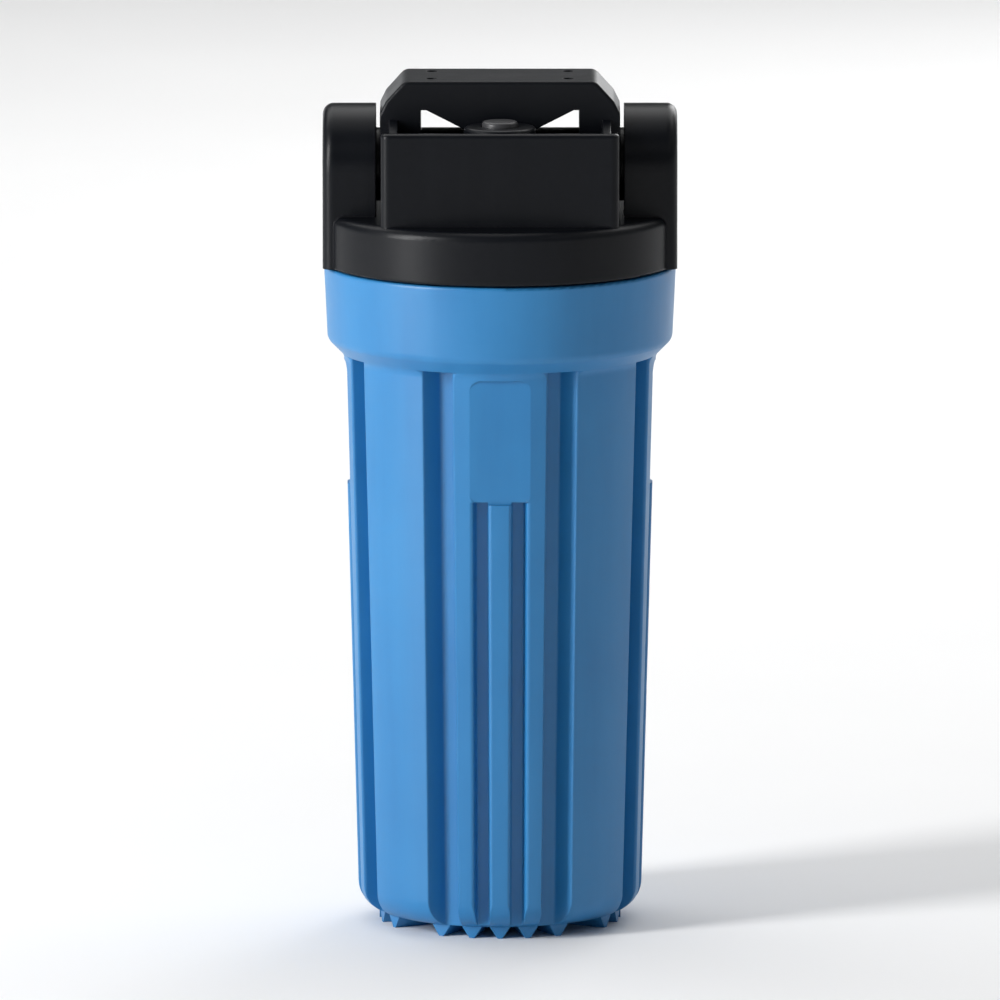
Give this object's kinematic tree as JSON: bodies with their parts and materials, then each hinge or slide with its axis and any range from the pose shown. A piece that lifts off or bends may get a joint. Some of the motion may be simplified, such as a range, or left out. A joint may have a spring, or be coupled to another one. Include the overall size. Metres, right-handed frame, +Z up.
{
  "type": "cartridge filter housing",
  "caption": "Water filter housing: ribbed cylindrical sump screwed to a cap with side ports, bracket saddle, relief valve and a pleated cartridge inside.",
  "frame": {"origin": "centre of the bounding box's bottom face, on the sump's foot ribs", "axes": "+Z up along the housing's axis, -Y towards the front (the side with the relief button), inlet port on -X, outlet port on +X"},
  "size_m": [0.13, 0.13, 0.314],
  "materials": {
    "sump": "semi-gloss moulded polypropylene, mid blue",
    "cap": "semi-gloss moulded polypropylene, near black",
    "ring": "satin nitrile rubber, black",
    "button": "satin plastic, dark grey",
    "stem": "stainless steel",
    "media": "matt pleated polyester, off-white",
    "cartridge_plastic": "matt polypropylene, white",
    "gasket": "soft black rubber sheet"
  },
  "bodies": {
    "sump_body": {"sump": "sump", "cartridge_media": "media", "cartridge_core": "cartridge_plastic", "cartridge_netting": "cartridge_plastic", "cartridge_top_cap": "cartridge_plastic", "cartridge_bottom_cap": "cartridge_plastic", "cartridge_top_gasket": "gasket", "cartridge_bottom_gasket": "gasket"},
    "ring_body": {"cap_o_ring": "ring"},
    "cap_body": {"cap": "cap", "relief_spring": "stem"},
    "valve_body": {"relief_button": "button", "relief_stem": "stem", "relief_seal": "ring", "relief_clip": "stem"}
  },
  "joints": [
    {"name": "cap_rise", "type": "slide", "parent": "sump_body", "child": "ring_body", "axis": [0, 0, 1], "range_m": [0, 0.027]},
    {"name": "cap_turn", "type": "hinge", "parent": "ring_body", "child": "cap_body", "pos_m": [0, 0, 0.245], "axis": [0, 0, 1], "range_deg": [0, 1530]},
    {"name": "relief_press", "type": "slide", "parent": "cap_body", "child": "valve_body", "axis": [0, 0, -1], "range_m": [0, 0.0025], "stiffness_N_per_m": 1500, "springref_m": -0.001, "deforming": ["relief_spring"]}
  ],
  "couplings": [
    {"joint": "cap_rise", "follows": "cap_turn", "m_per_rad": 0.0010106}
  ]
}
